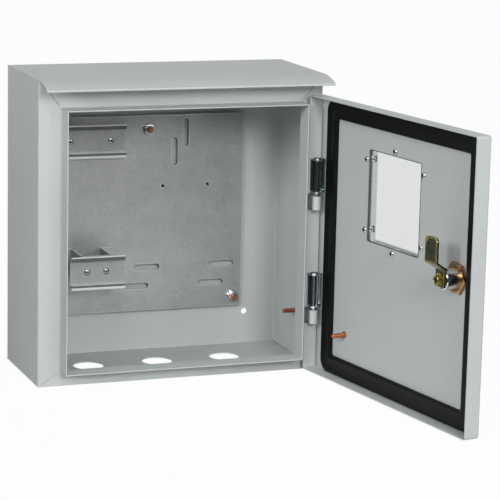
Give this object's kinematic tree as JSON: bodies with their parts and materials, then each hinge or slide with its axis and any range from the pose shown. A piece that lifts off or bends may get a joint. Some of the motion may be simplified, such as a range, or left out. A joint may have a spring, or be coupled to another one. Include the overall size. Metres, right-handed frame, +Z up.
{
  "type": "electric meter box",
  "caption": "Wall-mounted sheet-steel meter box with a rain visor, a gasketed door with a clear window and a cam lock, and a slotted mounting plate with device rails inside.",
  "frame": {"origin": "centre of the wall hole pattern, on the outside of the back wall", "axes": "+X to the right seen from the front, +Y into the wall, +Z up; the door is stored open"},
  "size_m": [0.3444, 0.4233, 0.31],
  "materials": {
    "grey_paint": "light grey fine-textured powder coat",
    "galvanised_steel": "galvanised, faint spangle",
    "zinc_plate": "bright zinc plate",
    "hinge_plate": "plated, smooth",
    "copper_plate": "copper-plated stud, satin",
    "gasket_foam": "matt black foamed seal",
    "seal_rubber": "matt black rubber",
    "clear_plastic": "clear moulded plastic",
    "lock_chrome": "chromed die casting",
    "yellow_zinc": "yellow passivated zinc plate"
  },
  "bodies": {
    "body": {"back_and_sides": "grey_paint", "front_header": "grey_paint", "front_sill": "grey_paint", "roof_with_visor": "grey_paint", "floor_panel": "grey_paint", "plate_studs": "copper_plate", "plate_spacers": "zinc_plate", "plate_washers": "zinc_plate", "plate_nuts": "zinc_plate", "mounting_plate": "galvanised_steel", "upper_rail": "galvanised_steel", "upper_rail_rivets": "zinc_plate", "rail_bracket": "galvanised_steel", "lower_rail": "galvanised_steel", "lower_rail_rivets": "zinc_plate", "body_earth_stud": "copper_plate", "hinge_sleeve_upper": "grey_paint", "hinge_sleeve_lower": "grey_paint"},
    "door": {"door_panel": "grey_paint", "door_gasket": "gasket_foam", "window_pane": "clear_plastic", "window_seal": "seal_rubber", "window_screws": "zinc_plate", "door_earth_stud": "copper_plate", "hinge_bracket_upper": "hinge_plate", "hinge_bracket_lower": "hinge_plate", "hinge_pin_upper": "zinc_plate", "hinge_pin_lower": "zinc_plate", "hinge_ring_upper": "zinc_plate", "hinge_ring_lower": "zinc_plate", "lock_housing": "lock_chrome", "lock_nut": "yellow_zinc"},
    "lock": {"lock_plug": "lock_chrome", "lock_cam": "yellow_zinc", "cam_washer": "yellow_zinc", "cam_screw": "yellow_zinc"}
  },
  "joints": [
    {"name": "door_hinge", "type": "hinge", "parent": "body", "child": "door", "pos_m": [0.139, -0.139, 0], "axis": [0, 0, 1], "range_deg": [-99, 20]},
    {"name": "lock_turn", "type": "hinge", "parent": "door", "child": "lock", "pos_m": [0.17717, -0.38, -0.0064], "axis": [0.9877, 0.1564, 0], "range_deg": [0, 90]}
  ]
}
